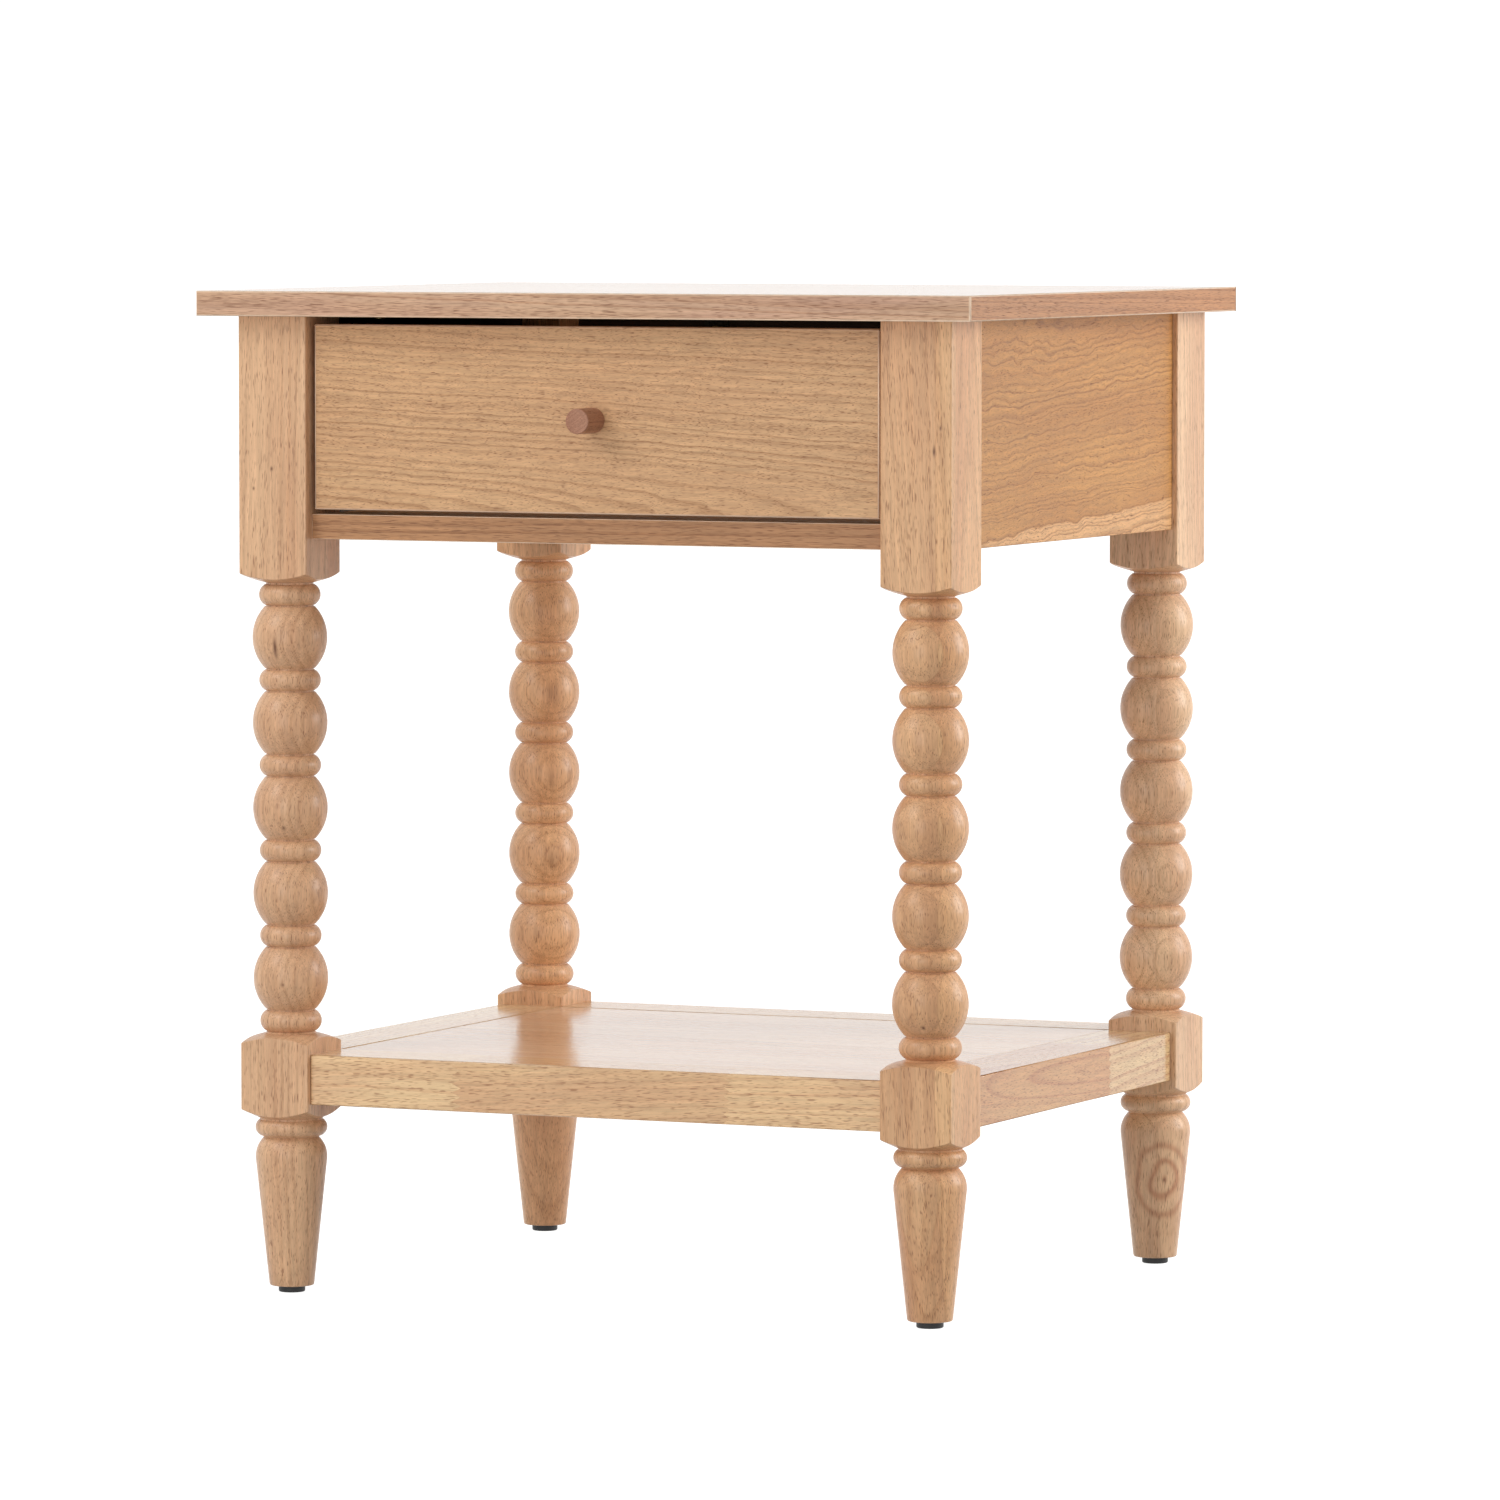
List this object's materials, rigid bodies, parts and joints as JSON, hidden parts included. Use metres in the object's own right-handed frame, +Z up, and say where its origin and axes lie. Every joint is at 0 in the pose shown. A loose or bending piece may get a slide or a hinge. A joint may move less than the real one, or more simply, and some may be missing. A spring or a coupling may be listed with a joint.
{
  "type": "side table with drawer",
  "caption": "Square side table on bobbin-turned legs, with an inset drawer that opens on telescopic slides and a low panelled shelf.",
  "frame": {"origin": "on the floor, under the middle of the table top", "axes": "+Z up; the drawer opens towards -Y; +X to the right as seen from the front"},
  "size_m": [0.5, 0.415, 0.6],
  "materials": {
    "oak_veneer": "satin lacquered natural oak veneer",
    "oak_edging": "satin lacquered oak edging",
    "turned_wood": "satin lacquered solid hardwood",
    "knob_wood": "satin lacquered reddish hardwood",
    "drawer_box_wood": "sealed birch plywood",
    "hardboard": "smooth hardboard",
    "dowel_wood": "plain beech",
    "batten_wood": "planed softwood",
    "slide_steel": "zinc plated",
    "bearing_steel": "polished",
    "bracket_steel": "zinc plated",
    "screw_steel": "yellow zinc plated",
    "glide_plastic": "black moulded plastic"
  },
  "bodies": {
    "frame": {"apron_back": "oak_veneer", "apron_dowels": "dowel_wood", "apron_left": "oak_veneer", "apron_right": "oak_veneer", "batten_screws": "screw_steel", "bracket_screws": "screw_steel", "foot_glides": "glide_plastic", "front_rail": "oak_veneer", "front_rail_dowels": "dowel_wood", "front_rail_edging": "oak_edging", "glide_nails": "screw_steel", "leg_back_left": "turned_wood", "leg_back_right": "turned_wood", "leg_front_left": "turned_wood", "leg_front_right": "turned_wood", "shelf_dowels": "dowel_wood", "shelf_panel": "oak_veneer", "shelf_rail_back": "turned_wood", "shelf_rail_front": "turned_wood", "shelf_rail_left": "turned_wood", "shelf_rail_right": "turned_wood", "slide_batten_left": "batten_wood", "slide_batten_right": "batten_wood", "slide_cabinet_screws": "screw_steel", "slide_left_cabinet_member": "slide_steel", "slide_right_cabinet_member": "slide_steel", "top_board": "oak_veneer", "top_brackets": "bracket_steel", "top_dowels": "dowel_wood", "top_edging_back": "oak_edging", "top_edging_front": "oak_edging", "top_edging_left": "oak_edging", "top_edging_right": "oak_edging"},
    "drawer": {"drawer_back": "drawer_box_wood", "drawer_bottom": "hardboard", "drawer_dowels": "dowel_wood", "drawer_edging_bottom": "oak_edging", "drawer_edging_ends": "oak_edging", "drawer_edging_top": "oak_edging", "drawer_front": "oak_veneer", "drawer_screws": "screw_steel", "drawer_side_left": "drawer_box_wood", "drawer_side_right": "drawer_box_wood", "knob": "knob_wood", "knob_screw": "screw_steel", "slide_drawer_screws": "screw_steel", "slide_left_drawer_member": "slide_steel", "slide_right_drawer_member": "slide_steel"},
    "slide_left_middle": {"slide_left_middle_member": "slide_steel"},
    "slide_left_outer_cage": {"slide_left_outer_cage": "slide_steel", "slide_left_outer_balls": "bearing_steel"},
    "slide_left_inner_cage": {"slide_left_inner_cage": "slide_steel", "slide_left_inner_balls": "bearing_steel"},
    "slide_right_middle": {"slide_right_middle_member": "slide_steel"},
    "slide_right_outer_cage": {"slide_right_outer_cage": "slide_steel", "slide_right_outer_balls": "bearing_steel"},
    "slide_right_inner_cage": {"slide_right_inner_cage": "slide_steel", "slide_right_inner_balls": "bearing_steel"}
  },
  "joints": [
    {"name": "drawer_slide", "type": "slide", "parent": "frame", "child": "drawer", "axis": [0, -1, 0], "range_m": [0, 0.28]},
    {"name": "slide_left_middle_travel", "type": "slide", "parent": "frame", "child": "slide_left_middle", "axis": [0, -1, 0], "range_m": [0, 0.14]},
    {"name": "slide_left_outer_cage_travel", "type": "slide", "parent": "frame", "child": "slide_left_outer_cage", "axis": [0, -1, 0], "range_m": [0, 0.07]},
    {"name": "slide_left_inner_cage_travel", "type": "slide", "parent": "frame", "child": "slide_left_inner_cage", "axis": [0, -1, 0], "range_m": [0, 0.21]},
    {"name": "slide_right_middle_travel", "type": "slide", "parent": "frame", "child": "slide_right_middle", "axis": [0, -1, 0], "range_m": [0, 0.14]},
    {"name": "slide_right_outer_cage_travel", "type": "slide", "parent": "frame", "child": "slide_right_outer_cage", "axis": [0, -1, 0], "range_m": [0, 0.07]},
    {"name": "slide_right_inner_cage_travel", "type": "slide", "parent": "frame", "child": "slide_right_inner_cage", "axis": [0, -1, 0], "range_m": [0, 0.21]}
  ],
  "couplings": [
    {"joint": "slide_left_middle_travel", "follows": "drawer_slide", "ratio": 0.5},
    {"joint": "slide_left_outer_cage_travel", "follows": "drawer_slide", "ratio": 0.25},
    {"joint": "slide_left_inner_cage_travel", "follows": "drawer_slide", "ratio": 0.75},
    {"joint": "slide_right_middle_travel", "follows": "drawer_slide", "ratio": 0.5},
    {"joint": "slide_right_outer_cage_travel", "follows": "drawer_slide", "ratio": 0.25},
    {"joint": "slide_right_inner_cage_travel", "follows": "drawer_slide", "ratio": 0.75}
  ]
}
